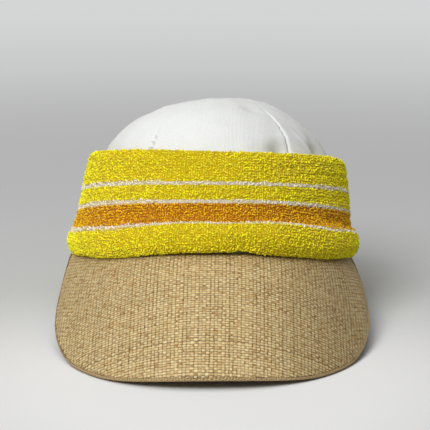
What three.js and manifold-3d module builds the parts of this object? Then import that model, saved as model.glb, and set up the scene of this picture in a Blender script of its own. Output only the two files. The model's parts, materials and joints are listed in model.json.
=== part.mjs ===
// A cloth hat with a canvas crown, a turned-up terry cuff and a wide straw bill.
// It stands tipped back on its rim and on the two front corners of the bill.
// Millimetres, +Z up, the bill points to -Y.
import * as THREE from "three";
import { mergeVertices } from "three/addons/utils/BufferGeometryUtils.js";
import Module from "manifold-3d";

const wasm = await Module();
wasm.setup();

// How the hat stands
const tipBack = THREE.MathUtils.degToRad(16);
const rollPress = 1; // how far the table squashes the roll flat at the back
const cornerPress = 0.4; // and the bill's two corners

// Head opening and crown
const headWidth = 158;
const headLength = 193;
const crownDepth = 108;
const domePower = 3.6; // 2 is an ellipse, more is a squarer shoulder
const crownHem = 4; // bottom edge of the canvas above the lowest part of the roll
const canvasWall = 1;
const tipRadius = 1.6; // the panels' points stop this far from the top centre

// Sewn layers
const layerGap = 0.3;
const seamTapeWall = 0.6;
const seamTapeGap = 0.6; // more than layerGap, as both faces are domed
const seamTapeWidth = 12;
const seamTapeStart = 17;
const seamTapeEnd = 11; // from the top centre
const sweatbandWall = 1.2;
const sweatbandHeight = 30;
const sweatbandHem = 1;
const labelWidth = 20;
const labelHeight = 14;
const labelWall = 0.6;
const labelHem = 9;

// Terry cuff
const terryWall = 2.3;
const cuffHeight = 63;
const cuffSideRise = 3; // the top edge rises towards the sides and back
const cuffSpace = 2.1; // air between the cuff's two faces, half way up
const cuffTopGap = 0.9; // between the turned-over top edge and the canvas
const foldDepth = 7; // how far the top edge is turned over inside
const rollBulge = 7.4; // beyond the face of the band
const rollHeight = 19;
const rollTuckGap = 0.85; // between the end of the roll's cloth and the lining

// Bill
const billReach = 91; // from the front of the band to the front edge
const billFlare = 7.8; // its widest part, beyond the side of the band
const billWidest = 22; // behind the front of the band
const billSpan = THREE.MathUtils.degToRad(80); // reach around the rim to each side
const billTailOut = 6.6; // width left at the ends
const billTailDrop = 1.4; // the ends' edge, below their rim
const billArch = 3;
const frontLift = 4.9; // front edge above the corners
const cornerSetback = 26; // where the corners meet the table, behind the front edge
const cornerRest = 20;
const billRimOut = 1.5;
const boardWall = 0.8;
const strawWall = 0.8;
const underWall = 0.5;
const bindingWall = 0.5;
const bindingGap = 0.5; // more than layerGap, as the bill is arched
const bindingWidth = 4;

// Mesh fineness
const headColumns = 45;
const panelCount = 5;
const panelRows = 10;
const cuffRows = 14;
const billColumns = 36;
const billRows = 4;

// Worked out from the sizes above
const crownHalfWidth = headWidth / 2 + sweatbandWall + layerGap + seamTapeWall + seamTapeGap + canvasWall;
const crownHalfLength = crownHalfWidth + (headLength - headWidth) / 2;
const panelAngle = (2 * Math.PI) / panelCount;
const firstSeam = -panelAngle / 2;
const columnAngle = (2 * Math.PI) / headColumns;
const billWallBelow = boardWall / 2 + layerGap + underWall;
const billWallAbove = boardWall / 2 + layerGap + strawWall;
const billRimDrop = billWallAbove + bindingGap + bindingWall;

// A slab between two surfaces, given as functions of u and v from 0 to 1.
// It is a closed ring when its last column meets its first.
function slab(outer, inner, columns, rows, isRing = false) {
  const across = isRing ? columns : columns + 1;
  const points = [];
  for (const face of [outer, inner]) {
    for (let row = 0; row <= rows; row += 1) {
      for (let column = 0; column < across; column += 1) {
        points.push(face(column / columns, row / rows));
      }
    }
  }
  const index = (side, row, column) => (side * (rows + 1) + row) * across + (column % across);
  const triangles = [];
  const quad = (a, b, c, d) => triangles.push(a, b, c, a, c, d);
  for (let row = 0; row < rows; row += 1) {
    for (let column = 0; column < columns; column += 1) {
      const [r, c] = [row + 1, column + 1];
      quad(index(0, row, column), index(0, row, c), index(0, r, c), index(0, r, column));
      quad(index(1, row, column), index(1, r, column), index(1, r, c), index(1, row, c));
    }
  }
  for (let column = 0; column < columns; column += 1) {
    const c = column + 1;
    quad(index(0, 0, column), index(1, 0, column), index(1, 0, c), index(0, 0, c));
    quad(index(0, rows, column), index(0, rows, c), index(1, rows, c), index(1, rows, column));
  }
  for (let row = 0; row < rows && !isRing; row += 1) {
    const r = row + 1;
    quad(index(0, row, 0), index(0, r, 0), index(1, r, 0), index(1, row, 0));
    quad(index(0, row, columns), index(1, row, columns), index(1, r, columns), index(0, r, columns));
  }
  return facingOut(points, triangles);
}

// Turns the triangles round if the solid they close is inside out.
function facingOut(points, triangles) {
  let volume = 0;
  for (let i = 0; i < triangles.length; i += 3) {
    const [a, b, c] = [points[triangles[i]], points[triangles[i + 1]], points[triangles[i + 2]]];
    volume += a.dot(b.clone().cross(c));
  }
  const geometry = new THREE.BufferGeometry();
  geometry.setAttribute("position", new THREE.Float32BufferAttribute(points.flatMap((p) => p.toArray()), 3));
  geometry.setIndex(volume < 0 ? triangles.toReversed() : triangles);
  return geometry;
}

function toManifold(geometry) {
  const bare = geometry.clone();
  bare.deleteAttribute("normal");
  bare.deleteAttribute("uv");
  const merged = mergeVertices(bare, 1e-4);
  return new wasm.Manifold(new wasm.Mesh({
    numProp: 3,
    vertProperties: new Float32Array(merged.attributes.position.array),
    triVerts: new Uint32Array(merged.index.array),
  }));
}

function fromManifold(solid) {
  const { vertProperties, triVerts } = solid.getMesh();
  const geometry = new THREE.BufferGeometry();
  geometry.setAttribute("position", new THREE.BufferAttribute(vertProperties, 3));
  geometry.setIndex(new THREE.BufferAttribute(triVerts, 1));
  return geometry;
}

// Cuts off what would lie below the table. The geometry is given in the table's frame.
function standOnTable(geometry) {
  const size = 1000;
  const table = new THREE.BoxGeometry(size, size, size).translate(0, 0, -size / 2);
  return fromManifold(toManifold(geometry).subtract(toManifold(table)));
}

function mesh(name, geometry, finish) {
  const part = new THREE.Mesh(geometry, new THREE.MeshStandardMaterial({ metalness: 0, ...finish }));
  part.name = name;
  return part;
}

const canvas = { color: 0xe9e9e6, roughness: 0.9 };
const cottonTape = { color: 0xe4e2da, roughness: 0.9 };
const terry = { color: 0xe3cb2c, roughness: 1 };
const straw = { color: 0xc2a878, roughness: 0.75 };
const board = { color: 0xcfc6b4, roughness: 0.85 };
const cottonLining = { color: 0xddd3bd, roughness: 0.9 };

// A point around the head: angle from the front, distance out from the canvas at the rim, height.
function around(angle, out, height) {
  const x = (crownHalfWidth + out) * Math.sin(angle);
  const y = -(crownHalfLength + out) * Math.cos(angle);
  return new THREE.Vector3(x, y, height);
}

// A point of the dome, inset from the canvas's outside. rise runs from 0 at the rim to a right angle on top.
function domePoint(angle, rise, inset) {
  const up = Math.sin(rise);
  const spread = Math.sqrt(Math.max(0, 1 - up ** domePower));
  const x = (crownHalfWidth - inset) * spread * Math.sin(angle);
  const y = -(crownHalfLength - inset) * spread * Math.cos(angle);
  return new THREE.Vector3(x, y, (crownDepth - inset) * up);
}

// The dome's rise where it is this high, or this far from the top centre line.
const riseAtHeight = (height) => Math.asin(height / crownDepth);
const riseAtRadius = (radius) => Math.asin((1 - (radius / crownHalfWidth) ** 2) ** (1 / domePower));

function crownPanel(number) {
  const start = firstSeam + number * panelAngle;
  const low = riseAtHeight(crownHem);
  const high = riseAtRadius(tipRadius);
  const face = (inset) => (u, v) => {
    const rise = THREE.MathUtils.lerp(low, high, v);
    const middle = domePoint(start + panelAngle / 2, rise, inset);
    const seamGap = layerGap / 2 / Math.hypot(middle.x, middle.y);
    return domePoint(start + seamGap + u * (panelAngle - 2 * seamGap), rise, inset);
  };
  return slab(face(0), face(canvasWall), headColumns / panelCount, panelRows);
}

// Tape over the raw edges of one crown seam, on the inside.
function seamTape(number) {
  const seam = firstSeam + number * panelAngle;
  const low = riseAtHeight(seamTapeStart);
  const high = riseAtRadius(seamTapeEnd);
  const face = (inset) => (u, v) => {
    const rise = THREE.MathUtils.lerp(low, high, v);
    const middle = domePoint(seam, rise, inset);
    const halfAngle = Math.atan(seamTapeWidth / 2 / Math.hypot(middle.x, middle.y));
    return domePoint(seam + (2 * u - 1) * halfAngle, rise, inset);
  };
  const inset = canvasWall + seamTapeGap;
  return slab(face(inset), face(inset + seamTapeWall), 2, panelRows);
}

const fullTurn = (u) => firstSeam + u * 2 * Math.PI;
const sweatbandInset = canvasWall + seamTapeGap + seamTapeWall + layerGap;

function sweatband() {
  const high = riseAtHeight(sweatbandHem + sweatbandHeight);
  const low = riseAtHeight(sweatbandHem);
  const face = (inset) => (u, v) => domePoint(fullTurn(u), THREE.MathUtils.lerp(low, high, v), inset);
  return slab(face(sweatbandInset), face(sweatbandInset + sweatbandWall), headColumns, 3, true);
}

function sizeLabel() {
  const halfAngle = labelWidth / 2 / crownHalfLength;
  const inset = sweatbandInset + sweatbandWall + 2 * layerGap;
  const face = (depth) => (u, v) =>
    domePoint(Math.PI + (2 * u - 1) * halfAngle, riseAtHeight(labelHem + v * labelHeight), depth);
  return slab(face(inset), face(inset + labelWall), 4, 1);
}

// A strip of cloth whose middle follows a curve in (out, height), swept around the head.
function clothAlong(curve, wall, rows, angleAt, columns, isRing, heightAt = (angle, height) => height) {
  const face = (side) => (u, v) => {
    const point = curve.getPointAt(v);
    const tangent = curve.getTangentAt(v);
    const angle = angleAt(u);
    const out = point.x + side * (wall / 2) * tangent.y;
    return around(angle, out, heightAt(angle, point.y - side * (wall / 2) * tangent.x));
  };
  return slab(face(1), face(-1), columns, rows, isRing);
}

// Distances of the cuff's faces out from the canvas at the rim.
const domeSpread = (height) => Math.sqrt(1 - (height / crownDepth) ** domePower);
const canvasAtFold = -crownHalfWidth * (1 - domeSpread(cuffHeight - foldDepth));
const cuffTopOut = canvasAtFold + cuffTopGap + 2 * terryWall + layerGap;
const cuffOut = layerGap + terryWall + cuffSpace + terryWall;
const rollOut = cuffOut + rollBulge;
const rollTuck = layerGap + terryWall + rollTuckGap + terryWall / 2;

// The outer face of the cuff: turned in over the top edge, down the band and under the roll.
function cuffCurve() {
  const half = terryWall / 2;
  const inside = cuffTopOut - 2 * terryWall - layerGap + half;
  const outside = cuffTopOut - half;
  return new THREE.CatmullRomCurve3([
    [inside - 0.2, cuffHeight - foldDepth],
    [inside - 0.2, cuffHeight - terryWall],
    [(inside + outside) / 2, cuffHeight - half],
    [outside + 0.3, cuffHeight - terryWall],
    [(cuffTopOut + cuffOut) / 2 + 0.6 - half, cuffHeight * 0.75],
    [cuffOut - half, cuffHeight * 0.5],
    [cuffOut + 0.8 - half, rollHeight + 2],
    [rollOut - 1.6 - half, rollHeight - 4],
    [rollOut - half, rollHeight * 0.45],
    [rollOut - 3.2 - half, 0.8 + half],
    [rollTuck + 2 + half, half],
    [rollTuck, 2 + half],
  ].map(([out, height]) => new THREE.Vector3(out, height, 0)), false, "centripetal");
}

function cuffLift(angle, height) {
  return height + cuffSideRise * Math.sin(angle) ** 2 * (height / cuffHeight) ** 2;
}

function cuffOuter() {
  return clothAlong(cuffCurve(), terryWall, cuffRows, fullTurn, headColumns, true, cuffLift);
}

// The inner face of the cuff, from under the turned-in top edge down to the rim.
function cuffLining() {
  const foot = layerGap + terryWall / 2;
  const top = cuffTopOut - 1.5 * terryWall - layerGap;
  const head = cuffHeight - foldDepth - layerGap;
  const curve = new THREE.CatmullRomCurve3([
    new THREE.Vector3(foot, crownHem, 0),
    new THREE.Vector3(foot + 0.4, head * 0.5, 0),
    new THREE.Vector3(top, head, 0),
  ]);
  return clothAlong(curve, terryWall, 4, fullTurn, headColumns, true, cuffLift);
}

// The tilted frame of the hat's body, raised until its roll presses the table.
const hatBody = new THREE.Group();
hatBody.rotation.x = -tipBack;
const rollSamples = cuffCurve().getSpacedPoints(60);
const rollLowest = Math.max(...rollSamples.map((p) =>
  (crownHalfLength + p.x) * Math.sin(tipBack) - p.y * Math.cos(tipBack) + terryWall / 2));
hatBody.position.z = rollLowest - rollPress;
hatBody.updateMatrixWorld();

const onTable = (point) => point.applyMatrix4(hatBody.matrixWorld);
const inBody = (geometry) => geometry.applyMatrix4(hatBody.matrixWorld.clone().invert());

// --- Bill, in the table's frame ---
const bandFront = onTable(around(0, cuffOut, 0));
const billHalfWidth = crownHalfWidth + cuffOut + billFlare;
const cornerHeight = billWallBelow + bindingGap + bindingWall - cornerPress;
const billRim = (side) => onTable(around(side * billSpan, billRimOut, -billRimDrop));
const billTail = billRim(1).add(new THREE.Vector3(billTailOut, 0, -billTailDrop));

// Height of the edge, by its distance ahead of the band.
function edgeHeight(ahead) {
  const cornerFront = billReach - cornerSetback;
  const cornerBack = cornerFront - cornerRest;
  if (ahead > cornerFront) {
    return cornerHeight + frontLift * ((ahead - cornerFront) / cornerSetback) ** 2;
  }
  const tailAhead = bandFront.y - billTail.y;
  const back = Math.max(0, cornerBack - ahead) / (cornerBack - tailAhead);
  return cornerHeight + (billTail.z - cornerHeight) * back ** 1.25;
}

// The bill's outer edge: two parts of ellipses from each end to the front. side is -1 to 1.
function billEdge(side) {
  const tailShare = 0.35;
  const s = 1 - Math.abs(side);
  const widestY = bandFront.y + billWidest;
  let y;
  let halfWidth;
  if (s < tailShare) {
    const length = (billTail.y - widestY) / Math.sqrt(1 - (billTail.x / billHalfWidth) ** 2);
    y = THREE.MathUtils.lerp(billTail.y, widestY, s / tailShare);
    halfWidth = billHalfWidth * Math.sqrt(1 - ((y - widestY) / length) ** 2);
  } else {
    const turn = ((s - tailShare) / (1 - tailShare)) * (Math.PI / 2);
    y = widestY - (billReach + billWidest) * Math.sin(turn);
    halfWidth = billHalfWidth * Math.cos(turn);
  }
  return new THREE.Vector3(Math.sign(side) * halfWidth, y, edgeHeight(bandFront.y - y));
}

// The bill's middle surface: u across from -1 to 1, v from the rim to the edge.
function billMiddle(side, v) {
  const rim = billRim(side);
  const edge = billEdge(side);
  const straight = rim.clone().lerp(edge, v);
  const swell = billArch * 4 * v * (1 - v) * (1 - side * side);
  const lift = new THREE.Vector3(side * 0.8, -0.5, 0.8).normalize();
  return straight.addScaledVector(lift, swell);
}

function billNormal(side, v) {
  const step = 1e-3;
  const s = THREE.MathUtils.clamp(side, -1 + step, 1 - step);
  const t = THREE.MathUtils.clamp(v, step, 1 - step);
  const across = billMiddle(s + step, t).sub(billMiddle(s - step, t));
  const along = billMiddle(s, t + step).sub(billMiddle(s, t - step));
  return along.cross(across).normalize();
}

const billPoint = (side, v, height) => billMiddle(side, v).addScaledVector(billNormal(side, v), height);
const billFace = (height) => (u, v) => billPoint(2 * u - 1, v, height);

const billLayer = (low, high) => slab(billFace(high), billFace(low), billColumns, billRows);

// The straw cloth that wraps the edge: over the top, round the edge and back underneath.
function billBinding() {
  const legShare = 0.25; // of the way around its section, each leg
  const face = (wall) => (u, v) => {
    const side = 2 * u - 1;
    const above = billWallAbove + bindingGap + wall;
    const below = billWallBelow + bindingGap + wall;
    const radius = (above + below) / 2;
    const turn = THREE.MathUtils.clamp((v - legShare) / (1 - 2 * legShare), 0, 1) * Math.PI;
    const alongLeg = Math.max(0, legShare - v, v - 1 + legShare) / legShare;
    const inward = alongLeg * bindingWidth - layerGap - (radius - boardWall) * Math.sin(turn);
    const length = billRim(side).distanceTo(billEdge(side));
    return billPoint(side, 1 - inward / length, (above - below) / 2 + radius * Math.cos(turn));
  };
  return slab(face(bindingWall), face(0), billColumns, 8);
}

// Tape that holds the bill: up between canvas and sweatband, and out to the bill's inner edge.
function billSeamTape() {
  const tapeMiddle = -(canvasWall + seamTapeGap + seamTapeWall / 2);
  const curve = new THREE.CatmullRomCurve3([
    new THREE.Vector3(tapeMiddle, seamTapeStart - 2, 0),
    new THREE.Vector3(tapeMiddle, 2.5, 0),
    new THREE.Vector3(tapeMiddle + 0.8, 0.3, 0),
    new THREE.Vector3(billRimOut - 0.35, -billRimDrop + 0.36, 0),
  ], false, "centripetal");
  // Its columns line up with the crown's, so that their facets run side by side.
  const columns = 2 * Math.floor(billSpan / columnAngle - 0.5) + 1;
  const angleAt = (u) => (u - 0.5) * columns * columnAngle;
  return clothAlong(curve, seamTapeWall, 6, angleAt, columns, false);
}

const panelNames = [
  "crown_front_panel", "crown_side_panel_left", "crown_back_panel_left",
  "crown_back_panel_right", "crown_side_panel_right",
];
const seamNames = ["front_right", "front_left", "back_left", "back_centre", "back_right"];

for (let number = 0; number < panelCount; number += 1) {
  hatBody.add(mesh(panelNames[number], crownPanel(number), canvas));
  hatBody.add(mesh(`crown_seam_tape_${seamNames[number]}`, seamTape(number), cottonTape));
}
hatBody.add(mesh("sweatband", sweatband(), cottonLining));
hatBody.add(mesh("size_label", sizeLabel(), cottonTape));
hatBody.add(mesh("terry_cuff_lining", cuffLining(), terry));
hatBody.add(mesh("terry_cuff_outer", inBody(standOnTable(cuffOuter().applyMatrix4(hatBody.matrixWorld))), terry));
hatBody.add(mesh("bill_seam_tape", billSeamTape(), cottonTape));

const bill = new THREE.Group();
bill.add(mesh("bill_stiffener_board", billLayer(-boardWall / 2, boardWall / 2), board));
bill.add(mesh("bill_straw_cover", billLayer(boardWall / 2 + layerGap, billWallAbove), straw));
bill.add(mesh("bill_under_cover", billLayer(-billWallBelow, -boardWall / 2 - layerGap), cottonLining));
bill.add(mesh("bill_edge_binding", standOnTable(billBinding()), straw));

const hat = new THREE.Group();
hat.add(hatBody, bill);

// The row's origin is the middle of the box's underside.
const box = new THREE.Box3().setFromObject(hat, true);
const centre = box.getCenter(new THREE.Vector3());
hat.position.set(-centre.x, -centre.y, -box.min.z);

export default hat;
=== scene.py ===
# Sun hat: white canvas crown, striped terry cuff turned up around it, woven straw bill.
import json
import math

import bpy
import numpy as np
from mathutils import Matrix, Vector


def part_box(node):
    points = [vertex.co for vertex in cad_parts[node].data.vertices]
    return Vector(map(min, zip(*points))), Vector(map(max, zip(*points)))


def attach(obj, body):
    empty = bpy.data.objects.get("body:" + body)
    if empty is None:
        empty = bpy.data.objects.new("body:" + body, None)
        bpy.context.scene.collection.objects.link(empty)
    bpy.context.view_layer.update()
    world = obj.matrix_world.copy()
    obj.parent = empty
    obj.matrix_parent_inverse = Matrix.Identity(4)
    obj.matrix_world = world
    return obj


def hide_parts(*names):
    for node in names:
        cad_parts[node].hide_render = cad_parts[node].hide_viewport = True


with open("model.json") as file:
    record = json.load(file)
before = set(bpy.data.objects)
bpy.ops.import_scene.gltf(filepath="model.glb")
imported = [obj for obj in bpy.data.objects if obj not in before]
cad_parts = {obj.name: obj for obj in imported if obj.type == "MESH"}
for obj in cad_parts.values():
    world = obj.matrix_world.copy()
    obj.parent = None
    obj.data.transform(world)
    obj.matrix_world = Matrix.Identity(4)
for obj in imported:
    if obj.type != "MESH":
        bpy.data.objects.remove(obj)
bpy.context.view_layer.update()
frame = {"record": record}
mm = 0.001

print("stage: camera")
cameraSetup = {
    "place": (0.001, -1.1775, 0.3312), "target": (0.001, 0.0404, 0.0588), "lens": 157.8, "sensor": 36,
}


def aimAt(thing, target):
    way = np.array(target) - np.array(thing.location)
    flatRun = math.hypot(way[0], way[1])
    thing.rotation_euler = (math.pi / 2 + math.atan2(way[2], flatRun), 0, math.atan2(-way[0], way[1]))


bpy.ops.object.camera_add(location=cameraSetup["place"])
camera = bpy.context.object
camera.data.lens = cameraSetup["lens"]
camera.data.sensor_width = cameraSetup["sensor"]
aimAt(camera, cameraSetup["target"])
bpy.context.scene.camera = camera
bpy.context.scene.view_settings.view_transform = "Standard"


def clearSelection():
    bpy.ops.object.select_all(action="DESELECT")


def makeActive(piece):
    clearSelection()
    piece.select_set(True)
    bpy.context.view_layer.objects.active = piece


def editAll(piece, *steps):  # each step runs in edit mode with everything selected
    makeActive(piece)
    bpy.ops.object.mode_set(mode="EDIT")
    bpy.ops.mesh.select_all(action="SELECT")
    for step in steps:
        step()
    bpy.ops.object.mode_set(mode="OBJECT")


def getPoints(piece):
    flat = np.empty(len(piece.data.vertices) * 3)
    piece.data.vertices.foreach_get("co", flat)
    return flat.reshape(-1, 3)


def setPoints(piece, points):
    piece.data.vertices.foreach_set("co", np.ascontiguousarray(points, float).ravel())
    piece.data.update()


def mapUv(piece, spread):  # the cloth's own size, so that weaves come out at their real pitch
    layer = piece.data.uv_layers.active.data
    flat = np.empty(len(layer) * 2)
    layer.foreach_get("uv", flat)
    layer.foreach_set("uv", np.stack(spread(flat[0::2], flat[1::2]), -1).ravel())


def giveWall(piece, wall, offset=-1):
    makeActive(piece)
    bpy.ops.object.modifier_add(type="SOLIDIFY")
    solidify = piece.modifiers[-1]
    solidify.thickness = wall
    solidify.offset = offset
    bpy.ops.object.modifier_apply(modifier=solidify.name)


def smoothPiece(piece, angle=60):
    makeActive(piece)
    bpy.ops.object.shade_smooth_by_angle(angle=math.radians(angle))


def clothPiece(name, faces, flat, place, wall, ring=False, offset=-1, spread=None):
    # a flat grid of the cloth's size, moved onto its surface and given its thickness
    clearSelection()
    bpy.ops.mesh.primitive_grid_add(x_subdivisions=faces[0], y_subdivisions=faces[1], size=2)
    piece = bpy.context.object
    piece.name = name
    u, v = (getPoints(piece)[:, :2].T + 1) / 2
    setPoints(piece, place(u, v))
    mapUv(piece, spread or (lambda u, v: (u * flat[0], v * flat[1])))
    if ring:
        editAll(piece, lambda: bpy.ops.mesh.remove_doubles(threshold=1e-6))
    giveWall(piece, wall, offset)
    smoothPiece(piece)
    return piece


def finishPiece(piece, material, slotName, *nodes):
    piece.data.materials.clear()
    piece.data.materials.append(material)
    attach(piece, "root")
    if nodes:
        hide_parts(*nodes)
    return piece


def sewPiece(name, cloth, place, material, slotName, node, restsOn, held="stretched", more=(), **shape):
    piece = clothPiece(name, cloth["faces"], cloth["flat"], place, cloth["wall"], **shape)
    finishPiece(piece, material, slotName, node)


def blend(low, high, share):
    return low + (high - low) * share


def softStep(value, start, end):
    share = np.clip((value - start) / (end - start), 0, 1)
    return share * share * (3 - 2 * share)


def bell(distance, reach):
    return np.exp(-((distance / reach) ** 2))


def waves(seed, count, freq, *axes):  # a smooth uneven surface between about -1 and 1
    draw = np.random.RandomState(seed)
    total = 0
    for _ in range(count):
        phase = draw.uniform(0, 2 * math.pi)
        turns = [draw.normal(0, freq) for _ in axes]
        total = total + np.sin(sum(t * a for t, a in zip(turns, axes)) + phase)
    return total / math.sqrt(count)


def unit(ways):  # the same ways, each one unit long
    return ways / np.maximum(np.linalg.norm(ways, axis=-1, keepdims=True), 1e-12)


def surfaceNormal(surface, u, v, step):
    across = surface(u + step[0], v) - surface(u - step[0], v)
    along = surface(u, v + step[1]) - surface(u, v - step[1])
    return unit(np.cross(across, along))


def runAlong(line):  # how far along the line each of its points lies
    return np.concatenate([[0], np.cumsum(np.linalg.norm(np.diff(line, axis=0), axis=1))])


def readLine(line, at, marks=None):  # the line's two coordinates; without marks it runs from 0 to 1
    marks = np.linspace(0, 1, len(line)) if marks is None else marks
    return [np.interp(at, marks, line[:, k]) for k in (0, 1)]


def smoothLine(knots, steps=40):  # centripetal Catmull-Rom
    knots = np.array(knots)
    p = np.concatenate([2 * knots[:1] - knots[1:2], knots, 2 * knots[-1:] - knots[-2:-1]])
    spans = (((0, 1), (1, 2), (2, 3)), ((0, 2), (1, 3)), ((1, 2),))
    line = []
    for i in range(1, len(p) - 2):
        gaps = [math.sqrt(np.linalg.norm(p[k + 1] - p[k])) for k in (i - 1, i, i + 1)]
        marks = (0, gaps[0], gaps[0] + gaps[1], sum(gaps))
        for t in np.linspace(marks[1], marks[2], steps, endpoint=False):
            row = p[i - 1:i + 3]
            for level in spans:
                shares = [(t - marks[start]) / (marks[end] - marks[start]) for start, end in level]
                row = [blend(row[k], row[k + 1], share) for k, share in enumerate(shares)]
            line.append(row[0])
    line.append(p[-2])
    return np.array(line)


# the hat's own frame has +X to the wearer's left, -Y to the front and +Z up the crown
rimMount = next(m for m in frame["record"]["mounts"] if m["name"] == "head_opening")
rimCentre = np.array(rimMount["pos_m"])
hatUp = -np.array(rimMount["axis"])
hatBack = np.array((0, hatUp[2], -hatUp[1]))

hat = {
    "longer": 17.5 * mm,     # half the difference between the head's length and width
    "depth": 108 * mm,
    "power": 3.6,            # 2 is an ellipse, more is a squarer shoulder
    "cuffHeight": 63 * mm,
    "sideRise": 4.4 * mm,    # the cuff stands higher at the sides
    "lean": 2.5 / 62,        # the soft hat stands a little to one side
    "slump": 0.024 / 62**2 / mm**2,  # its left sinks and its right rises, more so higher up
}
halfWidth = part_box("crown_side_panel_left")[1].x
halfLength = halfWidth + hat["longer"]


def unleaned(points):  # from the hat's frame to the table's
    return rimCentre + points[..., 0:1] * (1, 0, 0) + points[..., 1:2] * hatBack + points[..., 2:3] * hatUp


def toTable(points):  # the same for the soft parts, which lean
    height = points[..., 2:3]
    across = points[..., 0:1] + hat["lean"] * height
    height = height - points[..., 0:1] * hat["slump"] * np.maximum(height, 0) ** 2
    return unleaned(np.concatenate([across, points[..., 1:2], height], -1))


def clearOfTable(points, gap=0.0):
    points[..., 2] = np.maximum(points[..., 2], gap)
    return points


def around(angle, out, height):
    x = (halfWidth + out) * np.sin(angle)
    y = -(halfLength + out) * np.cos(angle)
    return np.stack([x, y, height + 0 * angle], -1)


def domePoint(angle, rise, inset):
    up = np.sin(rise)
    spread = np.sqrt(np.maximum(0, 1 - up ** hat["power"]))
    x = (halfWidth - inset) * spread * np.sin(angle)
    y = -(halfLength - inset) * spread * np.cos(angle)
    return np.stack([x, y, (hat["depth"] - inset) * up], -1)


def sideLift(angle, height):
    return hat["sideRise"] * np.sin(angle) ** 2 * (height / hat["cuffHeight"]) ** 2


def feed(tree, sockets, values):  # each value is a number, a colour or another node's output
    for key, value in values.items():
        if isinstance(value, (int, float)):
            sockets[key].default_value = value
        elif isinstance(value, tuple):
            sockets[key].default_value = (*value, 1)
        else:
            tree.links.new(value, sockets[key])


def addNode(tree, kind, values={}, **settings):  # values go by their socket's name or number
    node = tree.nodes.new(kind)
    for name, setting in settings.items():
        setattr(node, name, setting)
    feed(tree, node.inputs, values)
    return node


def mathNode(tree, operation, *values):
    return addNode(tree, "ShaderNodeMath", dict(enumerate(values)), operation=operation).outputs[0]


def times(tree, product, *others):
    for other in others:
        product = mathNode(tree, "MULTIPLY", product, other)
    return product


def mapRange(tree, value, reach, limits=(0.0, 1.0), kind="SMOOTHSTEP"):
    sockets = ("Value", "From Min", "From Max", "To Min", "To Max")
    values = dict(zip(sockets, (value, *reach, *limits)))
    return addNode(tree, "ShaderNodeMapRange", values, interpolation_type=kind).outputs[0]


def placeOn(tree, kind):  # the parts of the UV or Object coordinates
    place = addNode(tree, "ShaderNodeTexCoord").outputs[kind]
    return addNode(tree, "ShaderNodeSeparateXYZ", {0: place}).outputs


def noiseAt(tree, place, scale, detail=2.0, kind="3D"):
    values = {"Vector": place, "Scale": scale, "Detail": detail}
    return addNode(tree, "ShaderNodeTexNoise", values, noise_dimensions=kind).outputs["Fac"]


def rampOf(tree, value, stops, kind="LINEAR"):  # stops are places and colours
    ramp = addNode(tree, "ShaderNodeValToRGB", {0: value})
    ramp.color_ramp.interpolation = kind
    for _ in stops[2:]:
        ramp.color_ramp.elements.new(0.5)
    for element, (place, colour) in zip(ramp.color_ramp.elements, stops):
        element.position = place
        element.color = (*colour, 1)
    return ramp.outputs[0]


def newGroup(name, inputs, outputs):
    group = bpy.data.node_groups.new(name, "ShaderNodeTree")
    for socket, value in inputs.items():
        given = group.interface.new_socket(socket, in_out="INPUT", socket_type="NodeSocketFloat")
        given.default_value = value
    for socket in outputs:
        group.interface.new_socket(socket, in_out="OUTPUT", socket_type="NodeSocketFloat")
    return group, addNode(group, "NodeGroupInput").outputs, addNode(group, "NodeGroupOutput").inputs


threadLook = {"wobble": 0.0012, "wobbleScale": 90.0, "gapReach": (-0.3, -1.0)}


def makeWeaveGroup():  # threads over and under; Ribs brings out the ones that run along the cloth
    threads = {"Across": 1000.0, "Along": 1000.0, "Ribs": 0.0}
    group, given, out = newGroup("threadWeave", threads, ["Height", "Gap"])
    uv = addNode(group, "ShaderNodeTexCoord").outputs["UV"]
    shift = times(group, noiseAt(group, uv, threadLook["wobbleScale"]), threadLook["wobble"])
    sines = []
    for place, pitch in zip(placeOn(group, "UV"), ("Across", "Along")):
        turned = times(group, mathNode(group, "ADD", place, shift), given[pitch], 2 * math.pi)
        sines.append(mathNode(group, "SINE", turned))
    ribPart = times(group, sines[0], given["Ribs"])
    crossPart = times(group, *sines, mathNode(group, "SUBTRACT", 1.0, given["Ribs"]))
    height = mathNode(group, "ADD", ribPart, crossPart)
    # painted shade: the low places between the threads are marked as Gap, which the cloths darken
    gaps = mapRange(group, height, threadLook["gapReach"], kind="LINEAR")
    feed(group, out, {"Height": height, "Gap": gaps})
    return group


def makeToneGroup():  # cloudy lighter and darker places, around 1
    group, given, out = newGroup("unevenTone", {"Scale": 40.0, "Spread": 0.1}, ["Tone"])
    place = addNode(group, "ShaderNodeTexCoord").outputs["Object"]
    centred = mathNode(group, "SUBTRACT", noiseAt(group, place, given["Scale"], 4.0), 0.5)
    tone = mathNode(group, "MULTIPLY_ADD", centred, times(group, given["Spread"], 2.0), 1.0)
    group.links.new(tone, out["Tone"])
    return group


weaveGroup = makeWeaveGroup()
toneGroup = makeToneGroup()


def useGroup(tree, group, **values):
    return addNode(tree, "ShaderNodeGroup", values, node_tree=group).outputs


def unevenTone(tree, scale, spread):
    return useGroup(tree, toneGroup, Scale=scale, Spread=spread)["Tone"]


def newMaterial(name, roughness, sheen=0.0, specular=0.3):
    material = bpy.data.materials.new(name)
    material.use_nodes = True
    shader = material.node_tree.nodes["Principled BSDF"]
    values = {"Roughness": roughness, "Specular IOR Level": specular, "Sheen Weight": sheen}
    feed(material.node_tree, shader.inputs, values)
    return material, material.node_tree, shader


def mixColour(tree, share, first, second, kind="MIX"):
    node = addNode(tree, "ShaderNodeMix", data_type="RGBA", blend_type=kind)
    sockets = {socket.name: socket for socket in node.inputs if socket.enabled}
    feed(tree, sockets, {"Factor": share, "A": first, "B": second})
    return [socket for socket in node.outputs if socket.enabled][0]


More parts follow.
